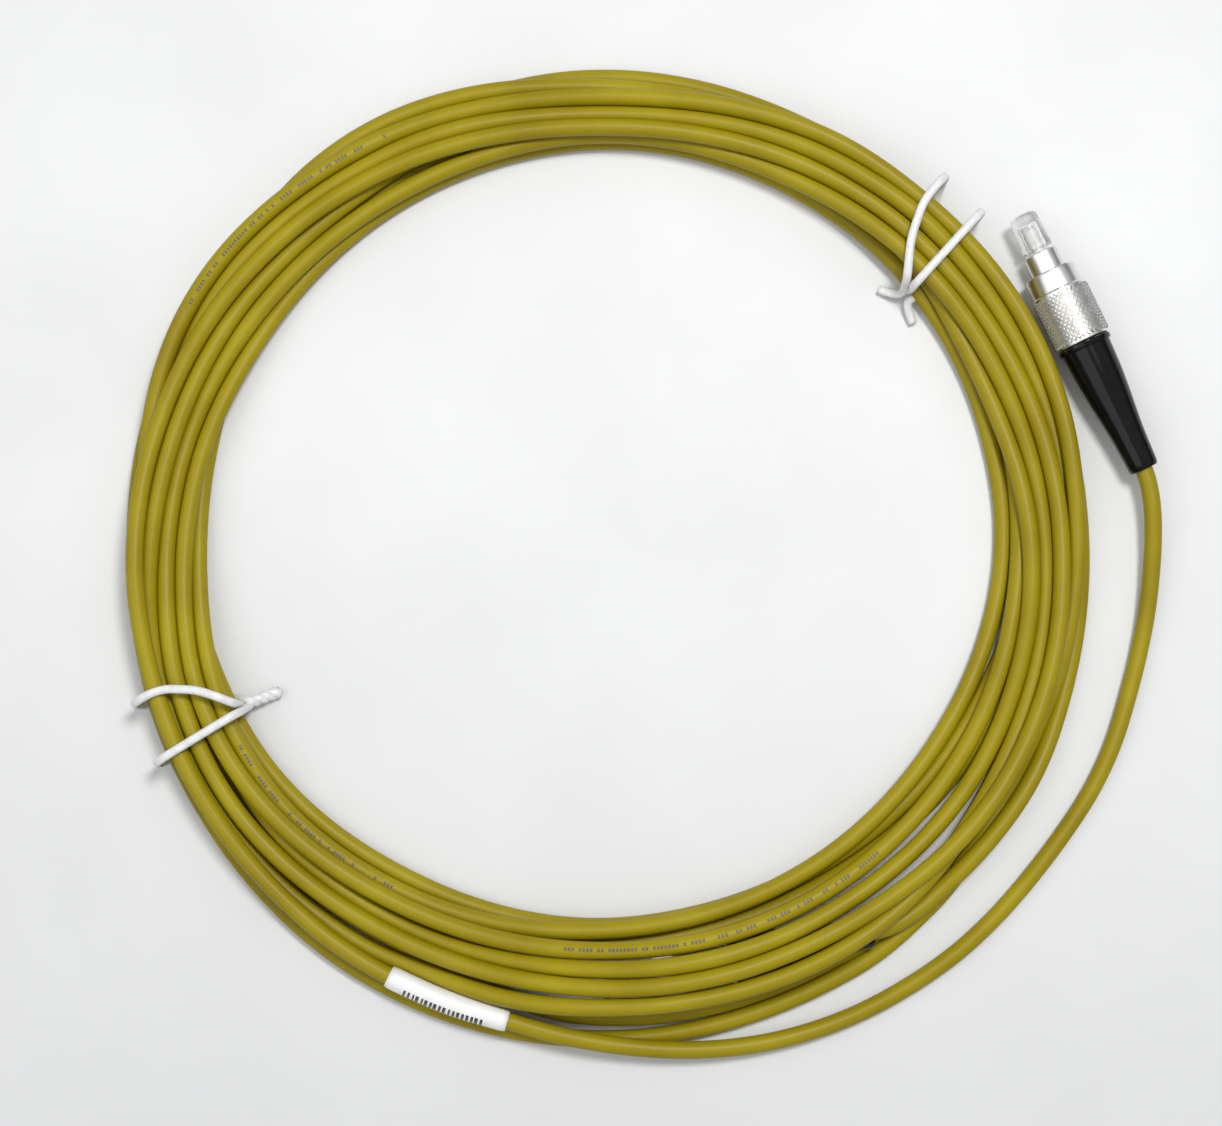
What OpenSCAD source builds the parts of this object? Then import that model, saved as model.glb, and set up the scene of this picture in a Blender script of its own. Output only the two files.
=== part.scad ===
// Fiber optic patch cord: a hank of 3 mm cable with an FC connector on each end.
// Millimetres, +Z up. The hank lies on the plane z = 0, and the origin is the middle of the
// whole part's footprint. Plan positions are given from the hank's own centre.
// Along a connector, u = 0 is the seam between boot and coupling nut, and +u is forward.

/* [Cable] */
// Outer diameter of the jacket
cable_d = 3; // [2.8:0.1:3]
// Outer diameter of the printed label sleeve
label_d = 3.9; // [3.6:0.1:3.9]

/* [Hank] */
// Height of the turns, two to three layers of them
hank_h = 8.8; // [8.5:0.1:9]
// Height of the turns where they ride over the nut of connector B
hump_h = 13.2; // [12.6:0.1:14]
// Height of the turns where they ride over the boot and cap of connector B
slope_h = 11.4; // [10.4:0.1:11.6]

/* [Coupling nut] */
// Diameter over the knurl
nut_d = 10; // [9.8:0.1:10]
// Length of the knurled part
knurl_len = 9.9; // [9:0.1:10.5]
// Diameter of the smooth collar
collar_d = 8.8; // [8.6:0.1:9]
// Length of the nut
nut_len = 13.5; // [13:0.1:14]
// Radius inside the M8 x 0.75 thread
thread_r = 3.7; // [3.65:0.01:3.75]

/* [Connector body] */
// Diameter of the stem
stem_d = 5.9; // [5.7:0.1:5.9]
// Front face of the stem
stem_front = 17.2; // [17:0.1:17.4]
// Diameter of the ferrule
ferrule_d = 2.5; // [2.49:0.01:2.5]
// Tip of the ferrule
ferrule_tip = 21.8; // [21.6:0.1:22]
// Diameter of the dust cap
cap_d = 5.3; // [5:0.1:5.4]
// Length of the boot
boot_len = 24; // [23:0.5:24]
// Diameter of the boot's tail
boot_tail_d = 5.2; // [4.8:0.1:5.6]

/* [Ties] */
// Diameter of a tie's plastic cover
tie_d = 1; // [0.9:0.05:1]
// Diameter of the steel wire in a tie
tie_wire_d = 0.45; // [0.35:0.05:0.5]

/* [Hidden] */

$fn = 64;

// Centre of the hank in plan
hank_x = -5.3;
hank_y = 1.2;

// Each connector's seam point in plan, from the hank's centre, and its heading in degrees
A = [81.2, 35.6, 115];
B = [20.9, -69.4, 192];
// Both connectors lie with the knurl on the table
axis_z = nut_d / 2;

// Running clearance between round parts that slide or turn
running = 0.05;
// Clearance where parts are only near each other
gap = 0.3;

// Nut's inside: rear lip, then the groove that holds the retaining ring
nut_lip = 0.7;
ring_groove_end = 1.7;
ring_from = 0.8;
ring_to = 1.6;
barrel_r = 3;
ring_r = 4.1;
nut_travel = 4;

// Stem
body_rear = -1.6;
shoulder_from = ring_to + nut_travel + running;
shoulder_to = shoulder_from + 1.4;
shoulder_r = 3.5;
key_w = 2;
key_from = 10.4;
key_to = 14.4;
chamber_r = 2.15;
lip_from = 13;
recess_from = 16.4;
recess_r = 2.2;

// Ferrule and its flange
ferrule_rear = 9.5;
flange_rear = 8.5;
flange_tube_rear = 5;
flange_tube_r = 1.3;
ferrule_travel = 0.5;
fiber_r = 0.0625;
buffer_r = 0.45;
buffer_rear = -8.6;

// Spring
spring_wire_r = 0.2;
spring_r = 1.73;
spring_turns = 6;

// Back post, yarn and crimp ring
post_front = 2;
post_flange_r = 2.9;
post_flange_rear = -3;
post_tube_r = 1.9;
post_rear = -9;
yarn_r = 2.12;
crimp_front = -3.2;
crimp_r = 2.6;
crimp_neck = -9.6;
crimp_neck_r = 2.05;
crimp_rear = -12.5;
jacket_front = -9.3;

// Dust cap
cap_rear = stem_front + ferrule_travel + 0.15;
cap_tip = 24.3;

// Boot outline: distance behind the seam, and radius
boot_outline = [[1, 4.3], [5, 4.15], [9, 3.85], [13, 3.4], [16, 3.06], [19, 2.82]];

// A point on a connector's axis, from the hank's centre
function on_axis(c, u) = [c[0] + u * cos(c[2]), c[1] + u * sin(c[2]), axis_z];

// Free strand from connector A, down to the table, along it, and up onto the hank
tail_route = concat(
    [on_axis(A, jacket_front), on_axis(A, -16), on_axis(A, -boot_len)],
    [
        [92.6, 8.5, 4.7], [92.9, 2, 3.9], [92.6, -4.5, 3], [91.9, -11, 2.1],
        [90.5, -18, 1.6], [88.6, -25, 1.5], [86, -33, 1.5], [82.2, -40.8, 1.5],
        [77.4, -48, 1.5], [72, -55, 1.5], [65.8, -62, 1.5], [58.5, -68.6, 1.5],
        [50, -74.3, 1.5], [41, -78.9, 1.6], [31, -82.2, 2.2], [21, -83.9, 3.1],
        [11, -84.2, 4], [1, -83.3, 4.7], [-8, -81.7, 5], [-17, -79.2, 5.1],
        [-27, -76.2, 5.1], [-37, -71.8, 5.1], [-42, -69, 5],
    ]
);
// The label lies on the route between these two points
label_from = 22;
label_to = 24;

// Strand from connector B back into the hank
lead_route = concat(
    [on_axis(B, jacket_front), on_axis(B, -16), on_axis(B, -boot_len)],
    [[48, -63.4, 4.9], [52, -60.9, 4.5], [56.5, -57, 4]]
);

// Stretches of the hank: start and end angle, inner and outer radius, bottom and top.
// The turns are drawn together at the two ties and spread out over connector B.
tie_lift = 1.2;
right_h = hank_h + 0.5;
left_h = hank_h + 1.3;
stretches = [
    [-49, 37.5, 65.4, 82.8, 0, hank_h],
    [37, 50, 69.1, 83.2, tie_lift, right_h],
    [49.5, 196.5, 70, 84.3, 0, hank_h],
    [196, 207, 68.9, 83.6, tie_lift, left_h],
    [206.5, 242, 65.6, 84.2, 0, hank_h],
    [241, 256.5, 63.4, 78.1, 0, hank_h - 2],
    [241.5, 277, 77, 86.3, 0, 2.5],
    [256, 268, 63.2, 78.2, 0, slope_h],
    [267.5, 296, 62, 81.8, 0, hump_h],
    [295.5, 311.5, 62.4, 82, 0, slope_h],
];

// Ties: angle around the hank, inner and outer end of the loop, how far to the side the knot
// and the two bands' outer ends are, how far one band bows out, and the hank's height there
tie_right = [44.5, 67.9, 86, -4.4, 5.2, -3.4, 2.6, right_h];
tie_left = [201.5, 67.6, 86.6, 1.6, 5.8, -4.8, -3, left_h];
tie_bottom = tie_d / 2 + 0.05;
tie_cross = 1.3;
tie_steps = 24;
twist_len = 5.5;
twist_turns = 2;
twist_r = 0.62;
twist_steps = 16;

// ---------- Helpers ----------

module in_hank() {
    translate([hank_x, hank_y, 0]) children();
}

// Local +Z is forward along the connector, and local +X is down
module at_connector(c) {
    in_hank() translate([c[0], c[1], axis_z]) rotate([0, 0, c[2]]) rotate([0, 90, 0]) children();
}

// A turned part from its outline of [radius, u] points
module turned(outline) {
    rotate_extrude() polygon(outline);
}

module sleeve(r_out, r_in, u0, u1) {
    difference() {
        translate([0, 0, u0]) cylinder(r = r_out, h = u1 - u0);
        translate([0, 0, u0 - 1]) cylinder(r = r_in, h = u1 - u0 + 2);
    }
}

function unit(v) = v / norm(v);

function heading(p, i) = unit(p[min(i + 1, len(p) - 1)] - p[max(i - 1, 0)]);

// Catmull-Rom point at t along the stretch from p1 to p2
function between(p0, p1, p2, p3, t) =
    (2 * p1 + (p2 - p0) * t + (2 * p0 - 5 * p1 + 4 * p2 - p3) * t * t
    + (3 * p1 - p0 - 3 * p2 + p3) * t * t * t) / 2;

// The smooth line through a route's points, with n steps for each stretch from i0 to i1
function smooth(p, n, i0, i1) = concat(
    [for (i = [i0:i1 - 1]) for (k = [0:n - 1])
        between(p[max(i - 1, 0)], p[i], p[i + 1], p[min(i + 2, len(p) - 1)], k / n)],
    [p[i1]]
);

// One ring of points round each point of a line. ref is a direction the line never takes.
function rings(line, r, sides, ref) = [
    for (i = [0:len(line) - 1])
        let (t = heading(line, i), a = unit(cross(ref, t)), b = cross(t, a))
        for (k = [0:sides - 1])
            line[i] + r * (a * cos(360 * k / sides) + b * sin(360 * k / sides))
];

// The walls between n rings, as triangles; flip turns them inside out
function walls(n, sides, first, flip) = [
    for (i = [0:n - 2]) for (k = [0:sides - 1])
        let (j = (k + 1) % sides, a = first + i * sides, b = a + sides)
        for (face = flip
            ? [[a + k, a + j, b + j], [a + k, b + j, b + k]]
            : [[a + j, a + k, b + k], [a + j, b + k, b + j]])
            face
];

// The flat end between an outer and an inner ring
function rim(sides, a, b) = [
    for (k = [0:sides - 1])
        let (j = (k + 1) % sides)
        for (face = [[a + k, a + j, b + j], [a + k, b + j, b + k]])
            face
];

module cord(line, r, sides, ref) {
    n = len(line);
    polyhedron(
        points = rings(line, r, sides, ref),
        faces = concat(
            walls(n, sides, 0, false),
            [[for (k = [0:sides - 1]) k], [for (k = [0:sides - 1]) n * sides - 1 - k]]
        ),
        convexity = 10
    );
}

module hose(line, r_out, r_in, sides, ref) {
    n = len(line);
    inner = n * sides;
    last = (n - 1) * sides;
    polyhedron(
        points = concat(rings(line, r_out, sides, ref), rings(line, r_in, sides, ref)),
        faces = concat(
            walls(n, sides, 0, false),
            walls(n, sides, inner, true),
            rim(sides, 0, inner),
            rim(sides, inner + last, last)
        ),
        convexity = 10
    );
}

// ---------- Cable ----------

// The section of one stretch, with its corners cut off as the outer turns cut them
module section(s) {
    c = min(1.6, (s[5] - s[4]) / 2 - 0.3);
    polygon([
        [s[2], s[4] + c], [s[2] + c, s[4]], [s[3] - c, s[4]], [s[3], s[4] + c],
        [s[3], s[5] - c], [s[3] - c, s[5]], [s[2] + c, s[5]], [s[2], s[5] - c],
    ]);
}

// Room for connector B under the turns, with its nut slid forward and its cap pulled off
module connector_tunnel() {
    for (part = [[nut_d / 2 + 0.5, -1.2, nut_len + nut_travel + 0.8],
                 [cap_d / 2 + 0.45, nut_len + nut_travel, cap_tip + 7],
                 [4.7 + gap, -10, -1],
                 [3.9 + gap, -boot_len - 0.4, -9]]) {
        translate([0, 0, part[1]]) cylinder(r = part[0], h = part[2] - part[1]);
        translate([0, -part[0], part[1]]) cube([axis_z + 1, 2 * part[0], part[2] - part[1]]);
    }
}

module cable_coil() {
    color("olivedrab") difference() {
        in_hank() for (s = stretches)
            rotate([0, 0, s[0]]) rotate_extrude(angle = s[1] - s[0], $fn = 128) section(s);
        at_connector(B) connector_tunnel();
    }
}

module cable_tail() {
    color("olive") in_hank()
        cord(smooth(tail_route, 2, 0, len(tail_route) - 1), cable_d / 2, 8, [0, 0, 1]);
}

module cable_lead() {
    color("olive") in_hank()
        cord(smooth(lead_route, 2, 0, len(lead_route) - 1), cable_d / 2, 8, [0, 0, 1]);
}

module label_sleeve() {
    color("white") in_hank()
        hose(smooth(tail_route, 4, label_from, label_to), label_d / 2, cable_d / 2 + 0.05, 16, [0, 0, 1]);
}

// ---------- Ties ----------

function spow(v, e) = sign(v) * pow(abs(v), e);

// One loop round the hank, over it and back beneath it. It starts at y0 and ends at y1 at the
// knot, and stands off to y_out at the hank's outer side.
function tie_loop(tie, y0, y1, y_out) = [
    for (i = [0:tie_steps])
        let (
            tie_top = tie[7] + tie_d / 2 + 0.3,
            bow = i < tie_steps / 2 && tie[6] * y_out > 0 ? tie[6] : 0,
            a = 160 - 320 * i / tie_steps,
            mid = (tie[1] + tie[2]) / 2,
            half = (tie[2] - tie[1]) / 2,
            x = mid + half * spow(cos(a), 0.4),
            z = (tie_top + tie_bottom) / 2 + (tie_top - tie_bottom) / 2 * spow(sin(a), 0.4),
            reach = (x - tie[1]) / (tie[2] - tie[1]),
            y_in = tie[3] + (i < tie_steps / 2 ? y0 : y1)
        )
        [x, y_in * (1 - reach) + y_out * reach + bow * sin(180 * reach), z]
];

// One leg of the twisted end, from its tip to the knot
function twist_leg(tie, phase) = [
    for (i = [0:twist_steps])
        let (f = i / twist_steps, a = phase + 360 * twist_turns * f)
        [
            tie[1] - 0.9 - twist_len * (1 - f),
            tie[3] + twist_r * cos(a),
            1.3 + 2 * f + twist_r * sin(a)
        ]
];

function flipped(p) = [for (i = [len(p) - 1:-1:0]) p[i]];

function tie_line(tie) = concat(
    twist_leg(tie, 0),
    tie_loop(tie, tie_cross, 0, tie[4]),
    tie_loop(tie, 0, -tie_cross, tie[5]),
    flipped(twist_leg(tie, 180))
);

module tie_cover(tie) {
    color("white") in_hank() rotate([0, 0, tie[0]])
        hose(tie_line(tie), tie_d / 2, tie_wire_d / 2 + 0.02, 6, [0, 1, 0]);
}

module tie_wire(tie) {
    color("silver") in_hank() rotate([0, 0, tie[0]])
        cord(tie_line(tie), tie_wire_d / 2, 6, [0, 1, 0]);
}

// ---------- Connector ----------

module coupling_nut(c) {
    r = nut_d / 2;
    collar_r = collar_d / 2;
    color("silver") at_connector(c) turned([
        [barrel_r + 0.15, 0], [r - 0.4, 0], [r, 0.4], [r, knurl_len - 0.4],
        [r - 0.4, knurl_len], [collar_r, knurl_len], [collar_r, nut_len - 0.3],
        [collar_r - 0.3, nut_len], [thread_r + 0.25, nut_len], [thread_r, nut_len - 0.25],
        [thread_r, ring_groove_end], [ring_r + running, ring_groove_end],
        [ring_r + running, nut_lip], [barrel_r + 0.15, nut_lip],
    ]);
}

module nut_ring(c) {
    color("dimgray") at_connector(c) rotate([0, 0, 15]) rotate_extrude(angle = 330)
        translate([barrel_r + running, ring_from]) square([ring_r - barrel_r - running, ring_to - ring_from]);
}

module front_body(c) {
    r = stem_d / 2;
    color("silver") at_connector(c) union() {
        turned([
            [chamber_r, body_rear], [barrel_r, body_rear], [barrel_r, shoulder_from],
            [shoulder_r, shoulder_from], [shoulder_r, shoulder_to], [r, shoulder_to + 0.3],
            [r, stem_front - 0.25], [r - 0.25, stem_front], [recess_r, stem_front],
            [recess_r, recess_from], [ferrule_d / 2 + running, recess_from],
            [ferrule_d / 2 + running, lip_from], [chamber_r, lip_from],
        ]);
        translate([r - 0.4, -key_w / 2, key_from])
            cube([shoulder_r - r + 0.4, key_w, key_to - key_from]);
    }
}

module back_post(c) {
    bore_r = buffer_r + running;
    color("goldenrod") at_connector(c) turned([
        [bore_r, post_rear], [post_tube_r, post_rear], [post_tube_r, post_flange_rear],
        [post_flange_r, post_flange_rear], [post_flange_r, body_rear],
        [chamber_r - 0.02, body_rear], [chamber_r - 0.02, post_front], [bore_r, post_front],
    ]);
}

module ferrule(c) {
    r = ferrule_d / 2;
    color("white") at_connector(c) turned([
        [fiber_r + 0.002, ferrule_rear + 0.5], [buffer_r, ferrule_rear], [r, ferrule_rear],
        [r, ferrule_tip - 0.5], [r - 0.3, ferrule_tip], [fiber_r + 0.002, ferrule_tip],
    ]);
}

module ferrule_flange(c) {
    color("silver") at_connector(c) turned([
        [buffer_r + 0.01, flange_tube_rear], [flange_tube_r, flange_tube_rear],
        [flange_tube_r, flange_rear], [chamber_r - running, flange_rear],
        [chamber_r - running, lip_from], [ferrule_d / 2, lip_from],
        [ferrule_d / 2, ferrule_rear], [buffer_r + 0.01, ferrule_rear],
    ]);
}

// Each end of the wire touches the piece it pushes on
function spring_line() = [
    for (i = [0:16 * spring_turns])
        let (a = 360 * i / 16, f = i / (16 * spring_turns))
        [
            spring_r * cos(a),
            spring_r * sin(a),
            post_front + spring_wire_r + f * (flange_rear - post_front - 2 * spring_wire_r)
        ]
];

module ferrule_spring(c) {
    color("gray") at_connector(c) cord(spring_line(), spring_wire_r, 6, [0, 0, 1]);
}

module crimp_ring(c) {
    color("silver") at_connector(c) turned([
        [cable_d / 2 + 0.02, crimp_rear], [crimp_neck_r, crimp_rear], [crimp_neck_r, crimp_neck],
        [crimp_r, crimp_neck + 0.8], [crimp_r, crimp_front], [yarn_r + 0.02, crimp_front],
        [yarn_r + 0.02, post_rear], [cable_d / 2 + 0.02, post_rear],
    ]);
}

module aramid_yarn(c) {
    color("gold") at_connector(c) sleeve(yarn_r, post_tube_r + 0.02, post_rear + 0.3, crimp_front - 0.1);
}

module buffered_fiber(c) {
    color("ivory") at_connector(c) translate([0, 0, buffer_rear])
        cylinder(r = buffer_r, h = ferrule_rear - buffer_rear);
}

module glass_fiber(c) {
    color("lightcyan") at_connector(c) translate([0, 0, ferrule_rear])
        cylinder(r = fiber_r, h = ferrule_tip - ferrule_rear, $fn = 24);
}

module boot(c) {
    tail_r = boot_tail_d / 2;
    color("black") at_connector(c) turned(concat(
        [[barrel_r + 0.02, 0], [4.5, 0], [4.7, -0.2], [4.7, -0.9]],
        [for (p = boot_outline) [p[1], -p[0]]],
        [
            [tail_r, 0.4 - boot_len], [tail_r - 0.4, -boot_len], [cable_d / 2 + 0.08, -boot_len],
            [cable_d / 2 + 0.08, crimp_rear - 1.2], [crimp_r + 0.1, crimp_rear - 0.1],
            [crimp_r + 0.1, post_flange_rear - 0.1], [barrel_r + 0.02, post_flange_rear - 0.1],
        ]
    ));
}

module dust_cap(c) {
    r = cap_d / 2;
    bore_r = ferrule_d / 2 + 0.02;
    color("whitesmoke", 0.5) at_connector(c) turned([
        [bore_r + 0.3, cap_rear], [r - 0.2, cap_rear], [r, cap_rear + 0.2], [r, cap_tip - 0.6],
        [r - 0.2, cap_tip - 0.2], [r - 0.6, cap_tip], [0, cap_tip], [0, ferrule_tip + 0.6],
        [bore_r, ferrule_tip + 0.6], [bore_r, cap_rear + 0.3],
    ]);
}

// ---------- Nodes ----------

cable_coil();
cable_tail();
cable_lead();
label_sleeve();
tie_cover(tie_right);  // tie_cover_right
tie_wire(tie_right);  // tie_wire_right
tie_cover(tie_left);  // tie_cover_left
tie_wire(tie_left);  // tie_wire_left

coupling_nut(A);  // coupling_nut_a
nut_ring(A);  // nut_ring_a
front_body(A);  // front_body_a
back_post(A);  // back_post_a
ferrule(A);  // ferrule_a
ferrule_flange(A);  // ferrule_flange_a
ferrule_spring(A);  // ferrule_spring_a
crimp_ring(A);  // crimp_ring_a
aramid_yarn(A);  // aramid_yarn_a
buffered_fiber(A);  // buffered_fiber_a
glass_fiber(A);  // glass_fiber_a
boot(A);  // boot_a
dust_cap(A);  // dust_cap_a

coupling_nut(B);  // coupling_nut_b
nut_ring(B);  // nut_ring_b
front_body(B);  // front_body_b
back_post(B);  // back_post_b
ferrule(B);  // ferrule_b
ferrule_flange(B);  // ferrule_flange_b
ferrule_spring(B);  // ferrule_spring_b
crimp_ring(B);  // crimp_ring_b
aramid_yarn(B);  // aramid_yarn_b
buffered_fiber(B);  // buffered_fiber_b
glass_fiber(B);  // glass_fiber_b
boot(B);  // boot_b
dust_cap(B);  // dust_cap_b
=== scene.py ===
import math
from collections import namedtuple

import bmesh
import bpy
import numpy as np
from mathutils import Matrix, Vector


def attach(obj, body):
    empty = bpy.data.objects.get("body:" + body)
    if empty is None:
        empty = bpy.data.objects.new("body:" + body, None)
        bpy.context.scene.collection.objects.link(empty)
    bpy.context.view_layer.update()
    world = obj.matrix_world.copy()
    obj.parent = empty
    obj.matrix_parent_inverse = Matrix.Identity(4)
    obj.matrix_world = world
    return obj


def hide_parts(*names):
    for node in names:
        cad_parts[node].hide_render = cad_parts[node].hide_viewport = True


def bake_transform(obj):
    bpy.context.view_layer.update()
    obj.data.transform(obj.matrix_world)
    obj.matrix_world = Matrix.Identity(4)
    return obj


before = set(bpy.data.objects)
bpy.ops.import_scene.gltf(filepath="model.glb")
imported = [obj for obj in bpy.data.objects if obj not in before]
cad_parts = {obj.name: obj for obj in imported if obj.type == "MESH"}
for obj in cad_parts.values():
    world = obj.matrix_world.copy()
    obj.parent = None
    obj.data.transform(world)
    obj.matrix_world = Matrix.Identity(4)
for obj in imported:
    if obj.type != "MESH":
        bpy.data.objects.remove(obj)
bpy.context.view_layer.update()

MM = 0.001

# Plan positions are in millimetres from the hank's centre, which is here in the part's frame
HANK = (-5.3, 1.2)
CABLE_R = 1.5
LABEL_R = 1.95
AXIS_Z = 5.0
# Each connector's seam between boot and nut, and its heading in degrees
CONNECTORS = {"a": (81.2, 35.6, 115), "b": (20.9, -69.4, 192)}


# ---------- Camera ----------

CAMERA_TARGET = Vector((-4.96, -0.85, 3)) * MM
CAMERA_DISTANCE = 0.4062
CAMERA_ELEVATION = math.radians(86)


def make_camera():
    data = bpy.data.cameras.new("camera")
    data.lens = 70
    data.sensor_width = 36
    data.clip_start = 0.01
    camera = bpy.data.objects.new("camera", data)
    bpy.context.collection.objects.link(camera)
    away = Vector((0, -math.cos(CAMERA_ELEVATION), math.sin(CAMERA_ELEVATION)))
    camera.location = CAMERA_TARGET + CAMERA_DISTANCE * away
    camera.rotation_euler = (-away).to_track_quat("-Z", "Y").to_euler()
    bpy.context.scene.camera = camera


make_camera()


# ---------- The cord's line ----------


def on_axis(connector, u):
    a = math.radians(connector[2])
    return (connector[0] + u * math.cos(a), connector[1] + u * math.sin(a), AXIS_Z)


# The free strand from connector A, down to the table, along it, and up onto the hank
TAIL_ROUTE = [on_axis(CONNECTORS["a"], u) for u in (-9.3, -16, -24)] + [
    (92.6, 8.5, 4.7), (92.9, 2, 3.9), (92.6, -4.5, 3), (91.9, -11, 2.1),
    (90.5, -18, 1.6), (88.6, -25, 1.5), (86, -33, 1.5), (82.2, -40.8, 1.5),
    (77.4, -48, 1.5), (72, -55, 1.5), (65.8, -62, 1.5), (58.5, -68.6, 1.5),
    (50, -74.3, 1.5), (41, -78.9, 1.6), (31, -82.2, 2.2), (21, -83.9, 3.1),
    (11, -84.2, 4), (1, -83.3, 4.7), (-8, -81.7, 5), (-17, -79.2, 5.1),
    (-27, -76.2, 5.1), (-37, -71.8, 5.1), (-42, -69, 5),
]
# The label lies on the route between these two points
LABEL_SPAN = (22, 24)
# Only the part of the route from this point on comes near the hank
TAIL_UNDER_FROM = 12

# The strand out of the hank into connector B
LEAD_ROUTE = [(56.5, -57, 4), (52, -60.9, 4.5), (48, -63.4, 4.9)] + [
    on_axis(CONNECTORS["b"], u) for u in (-24, -16, -9.3)
]

# One row for each turn of the hank: the level, from 0 on the table to 2 on top, and the
# radius at every 30 degrees, clockwise from the top. The first row starts at 210 degrees.
TURNS = [
    ("22222", [80.4, 80, 79.5, 78.5, 75.5]),
    ("222222222222", [72.5, 74.5, 75.5, 77, 77.2, 74.2, 73.3, 74.5, 77, 75.5, 73, 71.5]),
    ("111211221221", [72, 71.8, 72.7, 74.2, 75.8, 77.2, 76.5, 79, 79, 77.2, 75.5, 74.5]),
    ("000222222220", [75.5, 74.5, 72.5, 70.3, 69, 68, 67.3, 69.3, 73, 72.4, 71, 71.5]),
    ("000222222200", [72.3, 71.7, 70, 67.6, 64.7, 63.6, 64.2, 67.5, 71, 70.5, 71.5, 73.5]),
    ("111222211122", [75, 73, 70.3, 71.5, 72.7, 71.2, 70.3, 72.5, 74.5, 77, 80.5, 77.9]),
    ("222000000012", [75.2, 77.2, 78.1, 78.5, 78.5, 79.3, 79, 76.5, 78.5, 78.5, 80.5, 83.6]),
    ("211000122000", [80.1, 79.2, 75.8, 71, 66.5, 63.8, 64, 65.2, 69.2, 71.5, 74, 75.5]),
    ("000000000122", [78.5, 79.3, 78, 74, 69.3, 66.5, 66.7, 71, 75.5, 78, 82.5, 80.9]),
    ("222220000001", [78, 79.6, 81.2, 79.5, 79.4, 80.3, 82.4, 82.8, 81.5, 80.8, 81, 81.5]),
    ("200000", [82.7, 81.2, 81, 80.8, 80.3, 80.3]),
]
TURNS_FROM = 210
TURNS_TO = 3735
# The hank's inner and outer edge in plan at every 30 degrees, clockwise from the top
INNER_EDGE = [70, 69.3, 67.8, 65.5, 63, 61.8, 61.5, 63.5, 67.5, 68.5, 68.8, 69.5]
OUTER_EDGE = [84, 82.5, 83, 82.5, 83, 83.5, 84.6, 84.6, 83, 82.5, 84.6, 85.2]
CONTROL = 30
STATION = 3
PER_TURN = 360 // STATION

# Clockwise angles between which the hank meets the tail, the label on it, and the lead
TAIL_ANGLES = (146, 210)
LABEL_ANGLES = (190, 209)
LEAD_ANGLES = (136, 146)

# Clockwise angle of each tie, how far its lower bands lift the turns, and how far from the tie
# the lift is whole and gone
TIES = {"right": 45.5, "left": 248.5}
TIE_LIFT = 1.12
LIFT_WHOLE = 4
LIFT_GONE = 12
# Room round connector B: distance ahead of its seam, and radius. It tapers off at both ends.
ROOM_B = [
    (-36, -1.5), (-24.4, 2.8), (-19, 3), (-16, 3.2), (-13, 3.6), (-9, 4), (-5, 4.3),
    (-1.3, 4.6), (-1.2, 5.15), (14.2, 5.15), (14.3, 4.6), (17.9, 4.6), (21, 2.95),
    (30.6, 2.95), (42, -1.5),
]


def between(p, t):
    """Catmull-Rom point at t along the stretch from p[1] to p[2]"""
    return (
        2 * p[1] + (p[2] - p[0]) * t
        + (2 * p[0] - 5 * p[1] + 4 * p[2] - p[3]) * t**2
        + (3 * p[1] - p[0] - 3 * p[2] + p[3]) * t**3
    ) / 2


def smooth(points, steps):
    """The smooth line through the points, with this many steps from each to the next"""
    p = np.array(points, float)
    last = len(p) - 1
    line = []
    for i in range(last):
        four = [p[max(i - 1, 0)], p[i], p[i + 1], p[min(i + 2, last)]]
        line += [between(four, k / steps) for k in range(steps)]
    return np.array(line + [p[-1]])


def spread(values):
    """Values given at every 30 degrees, one for each station"""
    return smooth([[v] for v in values], CONTROL // STATION)[:, 0]


def polar(points):
    """Clockwise angle from the top, radius and height of each point"""
    p = np.array(points)
    angle = np.degrees(np.arctan2(p[:, 0], p[:, 1])) % 360
    return angle, np.hypot(p[:, 0], p[:, 1]), p[:, 2]


def ground(angle):
    """Lowest height of a turn's centre: the turns ride over the ties' lower bands"""
    z = np.full(len(angle), CABLE_R)
    for tie in TIES.values():
        off = np.abs((angle - tie + 180) % 360 - 180)
        share = np.clip((LIFT_GONE - off) / (LIFT_GONE - LIFT_WHOLE), 0, 1)
        z = np.maximum(z, CABLE_R + TIE_LIFT * share)
    return z


def strand_wall(route, angle, span, size):
    """A fixed strand of cable: its radius, height and size at each station, or radius 0"""
    a, r, z = polar(route)
    near = (angle >= span[0]) & (angle <= span[1])
    return np.where(near, np.interp(angle, a, r), 0), np.interp(angle, a, z), size


def connector_wall(angle):
    """Connector B: the radius, height and size of its room at each station, or radius 0"""
    seam = np.array(CONNECTORS["b"][:2])
    heading = math.radians(CONNECTORS["b"][2])
    ahead = np.array([math.cos(heading), math.sin(heading)])
    side = np.array([-ahead[1], ahead[0]])
    rays = np.stack([np.sin(np.radians(angle)), np.cos(np.radians(angle))], 1)
    reach = (seam @ side) / (rays @ side)
    along = reach * (rays @ ahead) - seam @ ahead
    u, room = zip(*ROOM_B)
    near = (along > u[0]) & (along < u[-1]) & (reach > 0)
    return np.where(near, reach, 0), np.full(len(angle), AXIS_Z), np.interp(along, u, room)


def walls():
    """What the turns can't pass through at each station: connector B, the tail and the lead"""
    angle = STATION * np.arange(PER_TURN)
    label = (angle > LABEL_ANGLES[0]) & (angle < LABEL_ANGLES[1])
    tail_size = np.where(label, LABEL_R, CABLE_R)
    lead_size = np.full(PER_TURN, CABLE_R)
    steps = 4
    tail = smooth(TAIL_ROUTE, steps)[steps * TAIL_UNDER_FROM :]
    lead = smooth(LEAD_ROUTE[:4], steps)
    return [
        connector_wall(angle),
        strand_wall(tail, angle, TAIL_ANGLES, tail_size),
        strand_wall(lead, angle, LEAD_ANGLES, lead_size),
    ]


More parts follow.
